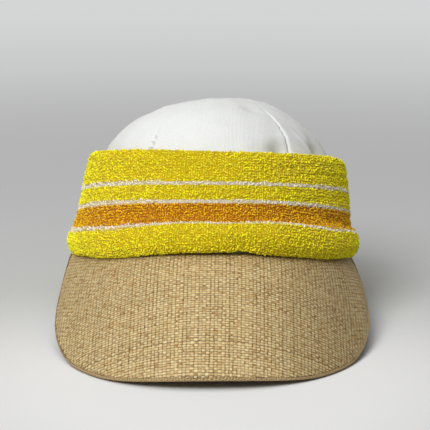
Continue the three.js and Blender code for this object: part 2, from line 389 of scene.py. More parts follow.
def paint(tree, shader, colour, tone):  # tone is a grey factor
    grey = addNode(tree, "ShaderNodeCombineColor", {0: tone, 1: tone, 2: tone}).outputs[0]
    feed(tree, shader.inputs, {"Base Color": mixColour(tree, 1.0, colour, grey, "MULTIPLY")})


def addBump(tree, shader, height, distance, strength=1.0):
    bump = addNode(tree, "ShaderNodeBump", {"Strength": strength, "Distance": distance, "Height": height})
    feed(tree, shader.inputs, {"Normal": bump.outputs[0]})


def wovenCloth(name, finish):
    material, tree, shader = newMaterial(name, finish["roughness"], finish["sheen"])
    across, along = finish["threads"]
    weave = useGroup(tree, weaveGroup, Across=across, Along=along, Ribs=finish["ribs"])
    tone = times(tree, unevenTone(tree, *finish["clouds"]), unevenTone(tree, *finish["slubs"]))
    # painted shade: the weave's gaps take the darker gap colour, as shade between the threads
    gapShare = times(tree, weave["Gap"], finish["gapDepth"])
    paint(tree, shader, mixColour(tree, gapShare, finish["colour"], finish["gapShadeColour"]), tone)
    addBump(tree, shader, weave["Height"], finish["relief"])
    return material


# threads are per metre; clouds and slubs are each a scale and how much lighter and darker they get;
# gapShadeColour is painted shade, darker where the threads dip between each other
canvasFinish = {
    "colour": (0.81, 0.82, 0.805), "gapShadeColour": (0.62, 0.61, 0.57), "gapDepth": 0.45, "roughness": 0.9,
    "sheen": 0.1, "threads": (960.0, 900.0), "ribs": 0.7, "clouds": (30.0, 0.04), "slubs": (900.0, 0.08),
    "relief": 0.065 * mm,
}
tapeFinish = dict(
    canvasFinish, colour=(0.78, 0.76, 0.70), gapShadeColour=(0.5, 0.48, 0.42), gapDepth=0.6,
    threads=(1300.0, 1100.0), ribs=0.3, clouds=(60.0, 0.06), relief=0.08 * mm,
)
liningFinish = dict(
    canvasFinish, colour=(0.72, 0.65, 0.51), gapShadeColour=(0.46, 0.40, 0.28), gapDepth=0.6,
    threads=(1100.0, 1100.0), ribs=0.0, clouds=(35.0, 0.06), slubs=(900.0, 0.1), relief=0.1 * mm,
)
canvasMaterial = wovenCloth("white_canvas", canvasFinish)
tapeMaterial = wovenCloth("cotton_tape", tapeFinish)
liningMaterial = wovenCloth("cream_cotton", liningFinish)

print("stage: crown")
crown = {
    "panels": 5, "hem": 4 * mm, "wall": 1 * mm, "tipRadius": 0.8 * mm, "seamGap": 0.12 * mm, "widestGap": 0.4,
    "faces": (64, 64), "edgeCrowd": 0.12, "flat": (0.121, 0.158), "area": 0.0142,
    "groove": (0.9 * mm, 1.0 * mm), "welt": (0.12 * mm, 3.0 * mm, 2 * mm),
    "pucker": (0.4 * mm, 2.8 * mm, 4.6 * mm),  # depth, fade away from the seam, wave length
    "gathered": (4, 3.6),                      # the seam that puckers most, and how many times as deep
    "lumps": 0.8 * mm, "ripples": 0.22 * mm,
    "turned": math.radians(2.5),               # the crown sits a little turned in its cuff
    "steady": (0.03, math.pi / 2 - 0.06),      # the rises between which the dome's normal is sure
    "lineSteps": 80,
}
# pushes out or in: angle from the front towards the wearer's left, height, reach and depth
crownShaping = [
    (-90, 103.5, 31, -6.8),  # long flat slope towards the wearer's right
    (90, 103.5, 24, 2.5),    # highest point
    (-90, 107.5, 17, -2.5),
    (90, 80, 22, 1.6),       # shoulder
    (26, 96, 7, -1.6),       # dent at the top of the front left seam
    (32, 64, 9, -4.6),       # hollow above the cuff
    (64, 69, 9, -4.2),       # valley beside the fold
]
# where the front right seam, 4, and the front left one, 0, are pulled flat: the height where the seam
# starts to fade, the height it has faded by and what is left of it
crownSeamFade = {4: (74, 81, 0.0), 0: (92, 99, 0.15)}
crownFold = {"bottom": (58, 62), "top": (50, 82), "height": 1.0 * mm, "reach": 2.2 * mm}
panelTurn = 2 * math.pi / crown["panels"]
seamAngles = panelTurn * (np.arange(crown["panels"]) + 0.5) + crown["turned"]


def crownShift(angle, rise):  # how far the cloth stands off the plain dome
    place = domePoint(angle, rise, 0)
    x, y, z = np.moveaxis(place, -1, 0)
    shift = crown["lumps"] * waves(4, 6, 42, x, y, z) + crown["ripples"] * waves(5, 7, 190, x, y, z)
    for degrees, height, reach, push in crownShaping:
        level = np.arcsin(min(height * mm / hat["depth"], 0.999))
        centre = domePoint(np.radians(degrees), level, 0)
        shift = shift + push * mm * bell(np.linalg.norm(place - centre, axis=-1), reach * mm)
    share = (z - crownFold["bottom"][1] * mm) / ((crownFold["top"][1] - crownFold["bottom"][1]) * mm)
    line = np.radians(blend(crownFold["bottom"][0], crownFold["top"][0], share))
    ends = softStep(share, -0.9, 0.1) * (1 - softStep(share, 0.75, 1.25))
    aside = (angle - line) * np.hypot(x, y)
    reach = crownFold["reach"]
    crease = bell(aside, reach) - 0.8 * bell(aside - 2 * reach, 1.4 * reach)
    return shift + crownFold["height"] * ends * crease


def seamShown(which, height):
    shown = np.ones_like(height)
    for seam, (fadeStart, fadeEnd, least) in crownSeamFade.items():
        faded = 1 - (1 - least) * softStep(height, fadeStart * mm, fadeEnd * mm)
        shown = np.where(which == seam, faded, shown)
    return shown


def seamShift(angle, rise):  # sunk stitching line, the turned-in cloth beside it and its puckers
    x, y, z = np.moveaxis(domePoint(angle, rise, 0), -1, 0)
    turn = np.abs((angle[..., None] - seamAngles + math.pi) % (2 * math.pi) - math.pi)
    nearest = turn.min(-1) * np.hypot(x, y)
    which = turn.argmin(-1)
    sunk = -crown["groove"][0] * bell(nearest, crown["groove"][1])
    raised = crown["welt"][0] * bell(nearest - crown["welt"][1], crown["welt"][2])
    depth, fade, wave = crown["pucker"]
    gathered, more = crown["gathered"]
    depth = np.where(which == gathered, more * depth, depth)
    phase = 2 * math.pi * rise * hat["depth"] / wave + 2 * np.sin(9 * rise + which)
    puckered = depth * np.exp(-nearest / fade) * np.sin(phase)
    return (sunk + raised + puckered) * seamShown(which, z)


def capSurface(inset, seams=True):
    def plain(angle, rise):
        return domePoint(angle, rise, inset)

    def place(angle, rise):
        normal = surfaceNormal(plain, angle, np.clip(rise, *crown["steady"]), (0.01, 0.01))
        shift = crownShift(angle, rise)
        if seams:
            shift = shift + seamShift(angle, rise)
        return plain(angle, rise) + shift[..., None] * normal
    return place


def riseAtHeight(height):
    return math.asin(height / hat["depth"])


def riseAtRadius(radius):
    return math.asin((1 - (radius / halfWidth) ** 2) ** (1 / hat["power"]))


def crowded(u):  # more faces near the seams
    return u - crown["edgeCrowd"] * np.sin(2 * math.pi * u)


outerCloth = capSurface(0)


def makePanel(number, name):
    middle = number * panelTurn + crown["turned"]
    low, high = riseAtHeight(crown["hem"]), riseAtRadius(crown["tipRadius"])

    def place(u, v):
        u, rise = crowded(u), blend(low, high, v)
        x, y, z = domePoint(middle + 0 * rise, rise, 0).T
        seam = np.where(u > 0.5, number, (number - 1) % crown["panels"])
        gap = crown["seamGap"] * seamShown(seam, z) / np.hypot(x, y)
        half = panelTurn / 2 - np.minimum(gap, crown["widestGap"])
        return toTable(outerCloth(middle + (2 * u - 1) * half, rise))

    def spread(u, v):  # the gore laid flat, so that the ribs run straight up it
        share = np.linspace(0, 1, crown["lineSteps"])
        line = domePoint(middle, blend(low, high, share), 0)
        width = panelTurn * np.hypot(line[:, 0], line[:, 1])
        return (crowded(u) - 0.5) * np.interp(v, share, width), np.interp(v, share, runAlong(line))

    sewPiece(name + "_cloth", crown, place, canvasMaterial, "canvas", name, ["sweatband_cloth"],
             spread=spread)


panelNames = ["crown_front_panel", "crown_side_panel_left", "crown_back_panel_left",
              "crown_back_panel_right", "crown_side_panel_right"]
panelCloths = [name + "_cloth" for name in panelNames]
for number, name in enumerate(panelNames):
    makePanel(number, name)

seamTape = {
    "wall": 0.6 * mm, "gap": 0.6 * mm, "start": 17 * mm, "end": 11 * mm, "faces": (10, 60),
    "flat": (12 * mm, 130 * mm),
}
tapeInset = crown["wall"] + seamTape["gap"]
tapeCloth = capSurface(tapeInset, seams=False)


def makeTape(name, seam):
    def place(u, v):
        rise = blend(riseAtHeight(seamTape["start"]), riseAtRadius(seamTape["end"]), v)
        x, y, _ = domePoint(seam + 0 * rise, rise, tapeInset).T
        half = np.arctan(seamTape["flat"][0] / 2 / np.hypot(x, y))
        return toTable(tapeCloth(seam + (2 * u - 1) * half, rise))

    node = "crown_seam_tape_" + name
    sewPiece("seam_tape_" + name, seamTape, place, tapeMaterial, "cotton_tape", node, panelCloths)


for number, name in enumerate(["front_right", "front_left", "back_left", "back_centre", "back_right"]):
    makeTape(name, panelTurn * (number - 0.5) + crown["turned"])

print("stage: sweatband")
sweatband = {
    "wall": 1.2 * mm, "hem": 1 * mm, "gap": 0.3 * mm, "faces": (220, 14), "flat": (565 * mm, 30 * mm),
}
bandInset = tapeInset + seamTape["wall"] + sweatband["gap"]
bandCloth = capSurface(bandInset, seams=False)


def bandPlace(u, v):
    rise = blend(riseAtHeight(sweatband["hem"]), riseAtHeight(sweatband["hem"] + sweatband["flat"][1]), v)
    return toTable(bandCloth((2 * u - 1) * math.pi, rise))


sewPiece("sweatband_cloth", sweatband, bandPlace, liningMaterial, "lining", "sweatband", panelCloths,
         ring=True)

label = {"flat": (20 * mm, 14 * mm), "wall": 0.6 * mm, "hem": 9 * mm, "faces": (14, 10)}
labelCloth = capSurface(bandInset + sweatband["wall"] + 2 * sweatband["gap"], seams=False)


def labelPlace(u, v):
    width, height = label["flat"]
    angle = math.pi + (2 * u - 1) * width / 2 / halfLength
    return toTable(labelCloth(angle, np.arcsin((label["hem"] + v * height) / hat["depth"])))


sewPiece("blank_size_label", label, labelPlace, tapeMaterial, "cotton_tape", "size_label",
         ["sweatband_cloth"])

print("stage: cuff")
cuff = {
    "wall": 2.3 * mm,          # cloth with its pile
    "skin": 0.9 * mm,          # the knitted ground under the loops
    "ground": -0.15 * mm,      # its face, below the middle of the whole cloth
    "space": 2.1 * mm, "gap": 0.3 * mm, "topGap": 0.9 * mm, "foldDepth": 7 * mm,
    "bulge": 7.4 * mm, "rollHeight": 19 * mm, "tuckGap": 0.85 * mm,
    "endIn": 0.5 * mm,         # the cloth's way is read this far inside its ends
    "calm": (12 * mm, 6 * mm),      # no unevenness this near its top and its tuck
    "inRoll": (46 * mm, 56 * mm),   # where the roll begins, down the cloth
    "sagFrom": (52 * mm, 66 * mm),
}
cuffOut = cuff["gap"] + 2 * cuff["wall"] + cuff["space"]  # how far its face stands off the head opening


def cuffKnots():  # the outer layer's middle, out and up: over the top fold, down the face, round the roll
    wall, gap, height, roll = cuff["wall"], cuff["gap"], hat["cuffHeight"], cuff["rollHeight"]
    half = wall / 2
    foldStart = height - cuff["foldDepth"]
    canvasAtFold = -halfWidth * (1 - math.sqrt(1 - (foldStart / hat["depth"]) ** hat["power"]))
    topOut = canvasAtFold + cuff["topGap"] + 2 * wall + gap
    face, rollOut = cuffOut - half, cuffOut + cuff["bulge"] - half
    tuck = gap + wall + cuff["tuckGap"] + half
    inside, outside = topOut - 2 * wall - gap + half, topOut - half
    return topOut, [
        (inside - 0.2 * mm, foldStart), (inside - 0.2 * mm, height - wall),
        ((inside + outside) / 2, height - half), (outside + 0.3 * mm, height - wall),
        ((topOut + cuffOut) / 2 + 0.6 * mm - half, height * 0.75), (face, height * 0.5),
        (face + 0.8 * mm, roll + 2 * mm), (rollOut - 1.6 * mm, roll - 4 * mm),
        (rollOut, roll * 0.45), (rollOut - 3.2 * mm, 0.8 * mm + half),
        (tuck + 2 * mm + half, half), (tuck, 2 * mm + half),
    ]


cuffTop, knots = cuffKnots()
cuffLine = smoothLine(knots)
cuffRun = runAlong(cuffLine)
cuffLength = cuffRun[-1]

# pushes out or in on the cuff: angle, distance down the cloth from its turned-in edge, reach and depth
cuffShaping = [
    (11, 68, 7, -2.0),      # pucker in the roll
    (-12, 60, 22, 1.0),     # roll swells in front
    (24, 58, 18, 0.8),
    (-90, 32, 30, 1.6),     # the wearer's right side stands out
    (-90, 50, 10, 3.0),
    (40, 70, 12, -0.6),
]
# where the roll hangs lower or higher: angle, reach in degrees and how much
rollSag = [(-42, 20, 3.2), (48, 24, 3.6), (0, 20, -0.3), (-88, 16, -2.0)]


def cuffSurface(depth):  # depth below the cloth's middle line, towards the head
    def place(angle, run):
        out, height = readLine(cuffLine, run, cuffRun)
        onCloth = np.clip(run, cuff["endIn"], cuffLength - cuff["endIn"])
        ahead, behind = (readLine(cuffLine, onCloth + step, cuffRun) for step in (0.4 * mm, -0.4 * mm))
        way = unit(np.stack(ahead, -1) - np.stack(behind, -1))
        x, y = np.sin(angle), np.cos(angle)
        calmTop, calmTuck = cuff["calm"]
        loose = softStep(run, 0, calmTop) * (1 - softStep(run, cuffLength - calmTuck, cuffLength))
        inRoll = softStep(run, *cuff["inRoll"])
        shift = loose * (0.25 + 0.4 * inRoll) * mm * waves(11, 6, 2.4, x, y, run * 40)
        shift = shift + loose * 0.25 * mm * waves(12, 6, 7, x, y, run * 110)
        for degrees, at, reach, push in cuffShaping:
            aside = (angle - math.radians(degrees)) * (halfWidth + halfLength) / 2
            shift = shift + push * mm * bell(np.hypot(aside, run - at * mm), reach * mm)
        out = out - (depth - shift) * -way[..., 1]
        height = height - (depth - shift) * way[..., 0]
        sag = sum(push * bell(np.degrees(angle) - at, reach) for at, reach, push in rollSag)
        sag = sag * mm * softStep(run, *cuff["sagFrom"])
        return toTable(around(angle, out, height + sideLift(angle, height) - sag))
    return place


print("stage: terry loops")
loopShape = {"arch": 0.57 * mm, "thread": 0.43 * mm, "sides": 3, "steps": 4}


def modelLoop():  # one loop of pile: a bent closed thread, standing up along Z with its feet below 0
    clearSelection()
    bpy.ops.mesh.primitive_circle_add(vertices=loopShape["sides"], radius=loopShape["thread"],
                                      fill_type="NGON", location=(loopShape["arch"], 0, 0))
    loop = bpy.context.object
    bpy.ops.object.transform_apply(location=True, rotation=True, scale=True)
    editAll(
        loop,
        lambda: bpy.ops.mesh.spin(steps=loopShape["steps"], angle=math.pi, center=(0, 0, 0), axis=(0, 1, 0)),
        lambda: bpy.ops.mesh.select_all(action="SELECT"),
        lambda: bpy.ops.mesh.remove_doubles(threshold=1e-7),
        lambda: bpy.ops.mesh.normals_make_consistent(inside=False),
    )
    return loop


loopModel = modelLoop()
loopPoints = getPoints(loopModel)
loopFaces = [list(face.vertices) for face in loopModel.data.polygons]
bpy.data.objects.remove(loopModel)


def copiesMesh(name, points, faces, uv, smooth):  # points is (copies, corners, 3), faces those of one copy
    copies, corners = points.shape[:2]
    mesh = bpy.data.meshes.new(name)
    mesh.vertices.add(copies * corners)
    mesh.vertices.foreach_set("co", points.astype(np.float32).ravel())
    flat = np.concatenate([np.array(face) for face in faces])
    sizes = np.array([len(face) for face in faces])
    starts = np.concatenate([[0], np.cumsum(sizes)[:-1]])
    allCorners = (flat[None, :] + corners * np.arange(copies)[:, None]).ravel()
    mesh.loops.add(len(allCorners))
    mesh.loops.foreach_set("vertex_index", allCorners.astype(np.int32))
    mesh.polygons.add(copies * len(faces))
    allStarts = (starts[None, :] + len(flat) * np.arange(copies)[:, None]).ravel()
    mesh.polygons.foreach_set("loop_start", allStarts)
    mesh.polygons.foreach_set("loop_total", np.tile(sizes, copies))
    mesh.update(calc_edges=True)
    layer = mesh.uv_layers.new(name="UVMap")
    layer.data.foreach_set("uv", uv.reshape(-1, 2)[allCorners].astype(np.float32).ravel())
    piece = bpy.data.objects.new(name, mesh)
    bpy.context.scene.collection.objects.link(piece)
    smoothPiece(piece, smooth)
    return piece


pile = {
    "wale": 1.55 * mm, "jitter": 0.26, "stripeJitter": 0.5, "size": (0.8, 1.2), "tall": (1.0, 1.5),
    "lean": 0.35, "foot": 0.25 * mm, "margin": 0.8 * mm, "smooth": 80,
    "waleShift": 0.24 * mm,    # how far each line of loops runs ahead of or behind its neighbours
    "around": 0.004,           # step in angle when the cloth's way is measured
}
# where a loop turns from its root's colour to its tip's, its own shade, its fibres and the cloth's clouds;
# the darker root colour is painted shade at the foot of the pile
pileLook = {
    "rise": (0.1, 0.95), "own": (0.32, 0.80), "fibres": (2500.0, 0.14), "clouds": (28.0, 0.07),
    "relief": (0.1 * mm, 0.6),
}


def terryMaterial(name, tip, root):  # UV x is a loop's own number and y runs up it
    material, tree, shader = newMaterial(name, 1.0, sheen=0.18, specular=0.1)
    loopNumber, upLoop, _ = placeOn(tree, "UV")
    fibres = unevenTone(tree, *pileLook["fibres"])
    own = mathNode(tree, "MULTIPLY_ADD", loopNumber, *pileLook["own"])
    tone = times(tree, own, fibres, unevenTone(tree, *pileLook["clouds"]))
    paint(tree, shader, mixColour(tree, mapRange(tree, upLoop, pileLook["rise"]), root, tip), tone)
    addBump(tree, shader, fibres, *pileLook["relief"])
    return material


# each loop's root colour is darker than its tip: painted shade at the foot of the pile
terryColours = {
    "yellow": terryMaterial("terry_yellow", (0.98, 0.96, 0.028), (0.90, 0.73, 0.006)),
    "white": terryMaterial("terry_white", (0.94, 0.91, 0.79), (0.80, 0.70, 0.46)),
    "orange": terryMaterial("terry_orange", (0.97, 0.62, 0.010), (0.78, 0.37, 0.003)),
}
# name, colour, where it starts down the cloth, and the number of rows of loops
terryZones = [
    ("top", "yellow", 0.0, 16), ("stripe_1", "white", 26.3, 2), ("middle", "yellow", 28.4, 6),
    ("stripe_2", "white", 37.6, 2), ("orange", "orange", 39.7, 8), ("stripe_3", "white", 52.7, 2),
    ("roll", "yellow", 54.0, 16),
]
# how much lower a zone starts at the wearer's right and left than in front
zoneSides = {
    "top": (0.0, 0.0), "stripe_1": (-0.5, 0.1), "middle": (-0.3, 0.0), "stripe_2": (-0.6, 1.8),
    "orange": (-0.5, 1.1), "stripe_3": (0.0, 2.4), "roll": (2.1, 2.2),
}
waleCount = round(math.pi * (2 * halfWidth + hat["longer"]) / pile["wale"])
waleShift = np.random.RandomState(8).normal(0, pile["waleShift"], waleCount)
groundCloth = cuffSurface(cuff["ground"])


def zoneStart(number, angle):
    if number == len(terryZones):
        return cuffLength + 0 * angle
    name, _, start, _ = terryZones[number]
    right, left = zoneSides[name]
    return start * mm + (right * softStep(-angle, 0.15, 0.8) + left * softStep(angle, 0.3, 1.1)) * mm


def loopField(number):
    name, colour, _, rows = terryZones[number]
    draw = np.random.RandomState(100 + number)
    row, column = np.meshgrid(np.arange(rows), np.arange(waleCount), indexing="ij")
    row, column = row.ravel() + 0.5, column.ravel()
    count = len(row)
    angle = (column + draw.uniform(-1, 1, count) * pile["jitter"]) / waleCount * 2 * math.pi - math.pi
    start, end = zoneStart(number, angle), zoneStart(number + 1, angle)
    stray = pile["stripeJitter"] if colour == "white" else pile["jitter"]
    run = start + (row + draw.uniform(-1, 1, count) * stray) * (end - start) / rows
    run = np.clip(run + waleShift[column], pile["margin"], cuffLength - pile["margin"])
    base = groundCloth(angle, run)
    normal = surfaceNormal(groundCloth, angle, run, (-pile["around"], 0.4 * mm))
    side = unit(groundCloth(angle + pile["around"], run) - base)
    down = np.cross(normal, side)
    twist = draw.uniform(-math.pi / 2, math.pi / 2, count)[:, None]
    lean = draw.normal(0, pile["lean"], (count, 2))
    upward = unit(normal + lean[:, :1] * side + lean[:, 1:] * down)
    acrossLoop = np.cos(twist) * side + np.sin(twist) * down
    acrossLoop = unit(acrossLoop - (acrossLoop * upward).sum(1, keepdims=True) * upward)
    thread = np.cross(upward, acrossLoop)
    local = loopPoints[None] * draw.uniform(*pile["size"], count)[:, None, None]
    local[..., 2] = local[..., 2] * draw.uniform(*pile["tall"], count)[:, None] - pile["foot"]
    axes = np.stack([acrossLoop, thread, upward], 1)
    points = clearOfTable(base[:, None] + local @ axes)
    uv = np.empty((count, len(loopPoints), 2))
    uv[..., 0] = draw.uniform(0, 1, count)[:, None]
    uv[..., 1] = np.clip(loopPoints[:, 2] / loopPoints[:, 2].max(), 0, 1)
    piece = copiesMesh("terry_loops_" + name, points, loopFaces, uv, pile["smooth"])
    return finishPiece(piece, terryColours[colour], "terry")


loopPieces = [loopField(number) for number in range(len(terryZones))]
# the ground's colours are the loops' colours, darker and more orange: painted shade between the loops
groundLook = {
    "yellow": (0.66, 0.46, 0.003), "white": (0.74, 0.66, 0.50), "orange": (0.50, 0.16, 0.002),
    "threads": (620.0, 600.0), "ribs": 0.2, "tone": (300.0, 0.15), "relief": 0.3 * mm,
}


def skinMaterial():  # the knitted ground, in the loops' colours made darker and more orange: painted shade between the loops
    material, tree, shader = newMaterial("terry_ground", 1.0, sheen=0.1, specular=0.1)
    downCloth = mathNode(tree, "DIVIDE", placeOn(tree, "UV")[1], float(cuffLength))
    stops = [(start * mm / cuffLength, groundLook[colour]) for _, colour, start, _ in terryZones]
    across, along = groundLook["threads"]
    weave = useGroup(tree, weaveGroup, Across=across, Along=along, Ribs=groundLook["ribs"])
    paint(tree, shader, rampOf(tree, downCloth, stops, "CONSTANT"), unevenTone(tree, *groundLook["tone"]))
    addBump(tree, shader, weave["Height"], groundLook["relief"])
    return material


def skinPlace(u, v):
    return clearOfTable(groundCloth((1 - 2 * u) * math.pi, v * cuffLength))


skin = {"faces": (260, 70), "flat": (0.60, cuffLength), "wall": cuff["skin"]}
sewPiece("terry_cuff_ground", skin, skinPlace, skinMaterial(), "terry", "terry_cuff_outer",
         ["terry_cuff_inner_cloth"], held="folded", more=loopPieces, ring=True)

inner = {"faces": (220, 30), "flat": (0.55, 0.053), "wall": cuff["wall"], "midOut": 0.4 * mm}


def innerPlace(u, v):
    angle = (2 * u - 1) * math.pi
    half = cuff["wall"] / 2
    head = hat["cuffHeight"] - cuff["foldDepth"] - cuff["gap"]
    foot = cuff["gap"] + half
    top = cuffTop - 1.5 * cuff["wall"] - cuff["gap"]
    line = smoothLine([(foot, crown["hem"]), (foot + inner["midOut"], head * 0.5), (top, head)])
    out, height = readLine(line, v)
    return toTable(around(angle, out + half, height + sideLift(angle, height)))


sewPiece("terry_cuff_inner_cloth", inner, innerPlace, terryColours["yellow"], "terry", "terry_cuff_lining",
         panelCloths, ring=True)

print("stage: bill")
bill = {
    "reach": 91 * mm, "flare": 6.8 * mm, "widest": 22 * mm, "span": math.radians(80),
    "tailOut": 5.6 * mm, "tailDrop": 1.4 * mm, "tailLift": 5.2 * mm, "tailCurve": 1.25,
    "arch": 15 * mm, "archPower": 0.55, "archWay": (0.8, -0.5, 0.8), "fullness": 0.88,
    "rightTail": (4.5 * mm, 0.7),  # the bill stands out more at its tail towards -X, from this share on
    "sway": -1.2 * mm,         # and its front lies a little to that side
    "frontLift": 4.9 * mm, "cornerSetback": 26 * mm, "cornerRest": 20 * mm, "rimOut": 1.5 * mm,
    "tailShare": 0.35,
    "skew": 0.025,             # the front edge runs a little back towards +X
    "board": 0.8 * mm, "straw": 0.8 * mm, "under": 0.5 * mm, "gap": 0.3 * mm, "edgeGap": 0.25 * mm,
    "edgeThin": 0.38, "thinReach": 7 * mm,  # the layers are pressed together at the edge
    "overTable": 0.6 * mm, "underRim": 0.5 * mm, "faces": (120, 24),
    "flat": (0.262, 0.152), "area": 0.0235, "weaveFlat": (0.24, 0.1),
}
billTop = bill["board"] / 2 + bill["gap"] + bill["straw"]
billUnder = bill["board"] / 2 + bill["gap"] + bill["under"]
cornerHeight = billUnder + bill["overTable"]
rimDrop = billTop + bill["underRim"]


def billRim(side):  # side runs from -1 at the wearer's right tail to 1 at the left one
    lift = bill["tailLift"] * softStep(np.abs(side), 0.6, 1)
    return unleaned(around(side * bill["span"], bill["rimOut"], lift - rimDrop))


bandFront = unleaned(around(np.array(0.0), cuffOut, 0.0))
billTail = billRim(np.array(1.0)) + (bill["tailOut"], 0, -bill["tailDrop"])
billHalf = halfWidth + cuffOut + bill["flare"]
widestY = bandFront[1] + bill["widest"]


def billEdge(side):
    s = 1 - np.abs(side)
    share = bill["tailShare"]
    ahead = bill["reach"] + bill["widest"]
    length = (billTail[1] - widestY) / math.sqrt(1 - (billTail[0] / billHalf) ** 2)
    backY = blend(billTail[1], widestY, np.minimum(s / share, 1))
    backX = billHalf * np.sqrt(1 - ((backY - widestY) / length) ** 2)
    turn = np.clip((s - share) / (1 - share), 0, 1) * math.pi / 2
    frontY = widestY - ahead * np.sin(turn) ** bill["fullness"]
    frontX = billHalf * np.maximum(np.cos(turn), 0) ** bill["fullness"]
    y = np.where(s < share, backY, frontY)
    x = np.sign(side) * np.where(s < share, backX, frontX)
    fromBand = bandFront[1] - y
    front = bill["reach"] - bill["cornerSetback"]
    back = front - bill["cornerRest"]
    toTail = np.maximum(0, back - fromBand) / (back - bandFront[1] + billTail[1])
    z = cornerHeight + (billTail[2] - cornerHeight) * toTail ** bill["tailCurve"]
    z = z + bill["frontLift"] * (np.maximum(0, fromBand - front) / bill["cornerSetback"]) ** 2
    skewed = y + bill["skew"] * x * softStep(np.clip((widestY - y) / ahead, 0, 1), 0, 1)
    tailOut, tailFrom = bill["rightTail"]
    x = x + bill["sway"] * (1 - side**2) - tailOut * np.maximum(0, (-side - tailFrom) / (1 - tailFrom)) ** 2
    return np.stack([x, skewed, z], -1)


def billLength(side):
    return np.linalg.norm(billRim(side) - billEdge(side), axis=-1)


def billMiddle(side, v):
    swell = bill["arch"] * np.maximum(v, 0) ** bill["archPower"] * (1 - v) * (1 - side**2)
    outward, forward, upward = bill["archWay"]
    lift = unit(np.stack([outward * side, forward + 0 * side, upward + 0 * side], -1))
    return blend(billRim(side), billEdge(side), v[..., None]) + swell[..., None] * lift


def billPoint(side, v, height):
    s, t = np.clip(side, -0.999, 0.999), np.clip(v, 0.001, 0.999)
    normal = surfaceNormal(billMiddle, s, t, (0.001, 0.001))
    pressed = 1 - bill["edgeThin"] * softStep((1 - v) * billLength(side), bill["thinReach"], 0)
    return billMiddle(side, v) - normal * (height * pressed)[..., None]


def billLayer(name, low, high, inset, material, slotName, node):
    def place(u, v):
        side = 2 * u - 1
        return billPoint(side, v * (1 - inset / billLength(side)), high + 0 * u)
    piece = clothPiece(name, bill["faces"], bill["weaveFlat"], place, high - low, offset=1)
    return finishPiece(piece, material, slotName, node)


boardLook = {"colour": (0.62, 0.56, 0.45), "fibres": (500.0, 0.2), "relief": 0.1 * mm}


def boardMaterial():
    material, tree, shader = newMaterial("pressed_board", 0.85)
    fibres = unevenTone(tree, *boardLook["fibres"])
    paint(tree, shader, boardLook["colour"], fibres)
    addBump(tree, shader, fibres, boardLook["relief"])
    return material


halfBoard = bill["board"] / 2
billLayer("bill_board", -halfBoard, halfBoard, 0.5 * mm, boardMaterial(), "board", "bill_stiffener_board")
# the under cloth is a real part; its dark brown is painted shade, darkening the gap under the bill's front
underFinish = dict(liningFinish, colour=(0.24, 0.155, 0.08), gapShadeColour=(0.10, 0.06, 0.03))
underCloth = billLayer("bill_under_cloth", -billUnder, -halfBoard - bill["gap"], 0.3 * mm,
                       wovenCloth("brown_cotton_painted_shade", underFinish), "lining", "bill_under_cover")

print("stage: straw weave")
# True is for the warp, the yarns that run from front to back, and False is for the weft
straw = {
    "pitch": {True: 2.22 * mm, False: 1.92 * mm}, "width": {True: 1.84 * mm, False: 1.34 * mm},
    "widths": (0.84, 1.12),  # narrowest and widest yarn, as a share of the width
    "uneven": 0.035,         # how far a yarn lies off its even place, as a share of the pitch
    "wave": 0.17 * mm, "thick": 0.24 * mm, "crown": 0.10 * mm, "wander": 0.13 * mm, "edgeIn": 0.45 * mm,
    "wideGap": {True: (0.05, 0.10), False: (0.09, 0.36)},  # share of yarns with a wider gap, and how wide
    "rulings": 161, "yarnsEachWay": 200, "uvUnit": 0.01, "smooth": 70,
}


def gap(a, b):
    return np.linalg.norm(a - b)


def thirdPoint(a, b, fromA, fromB, hand):  # where two arcs around a and b meet, on one side of the line a-b
    base = gap(b, a)
    along = (fromA**2 - fromB**2 + base**2) / (2 * base)
    aside = math.sqrt(max(fromA**2 - along**2, 0))
    way = (b - a) / base
    return a + along * way + hand * aside * np.array((-way[1], way[0]))


def unrollBill():  # lays the straight lines of the bill out flat, one after another from the middle
    side = np.linspace(-1, 1, straw["rulings"])
    rim, edge = billRim(side), billEdge(side)
    flatRim, flatEdge = np.zeros((len(side), 2)), np.zeros((len(side), 2))
    centre = len(side) // 2
    flatEdge[centre] = (0, -gap(edge[centre], rim[centre]))
    for hand, stop in ((1, len(side)), (-1, -1)):
        for n in range(centre + hand, stop, hand):
            k = n - hand
            reach = gap(edge[n], rim[k]), gap(edge[n], edge[k])
            flatEdge[n] = thirdPoint(flatRim[k], flatEdge[k], *reach, hand)
            reach = gap(rim[n], rim[k]), gap(rim[n], edge[n])
            flatRim[n] = thirdPoint(flatRim[k], flatEdge[n], *reach, hand)
    return side, flatRim, flatEdge


rulingSide, flatRim, flatEdge = unrollBill()
rulingWay = flatEdge - flatRim
flatLow = np.minimum(flatRim.min(0), flatEdge.min(0))
flatHigh = np.maximum(flatRim.max(0), flatEdge.max(0))


def findOnBill(points):  # flat points to (side, v); nan where a point isn't on the bill
    offset = points[:, None, :] - flatRim[None]
    cross = rulingWay[None, :, 0] * offset[..., 1] - rulingWay[None, :, 1] * offset[..., 0]
    along = (offset * rulingWay[None]).sum(-1) / (rulingWay**2).sum(-1)[None]
    near = (along > -0.4) & (along < 1.4)
    between = (cross[:, :-1] * cross[:, 1:] <= 0) & near[:, :-1] & near[:, 1:]
    strip = between.argmax(1)
    pick = np.arange(len(points))
    c0, c1 = cross[pick, strip], cross[pick, strip + 1]
    share = c0 / (c0 - c1 + 1e-18)
    side = blend(rulingSide[strip], rulingSide[strip + 1], share)
    start = blend(flatRim[strip], flatRim[strip + 1], share[:, None])
    end = blend(flatEdge[strip], flatEdge[strip + 1], share[:, None])
    v = ((points - start) * (end - start)).sum(1) / ((end - start) ** 2).sum(1)
    found = between.any(1)
    return np.where(found, side, np.nan), np.where(found, v, np.nan), np.linalg.norm(end - start, axis=1)


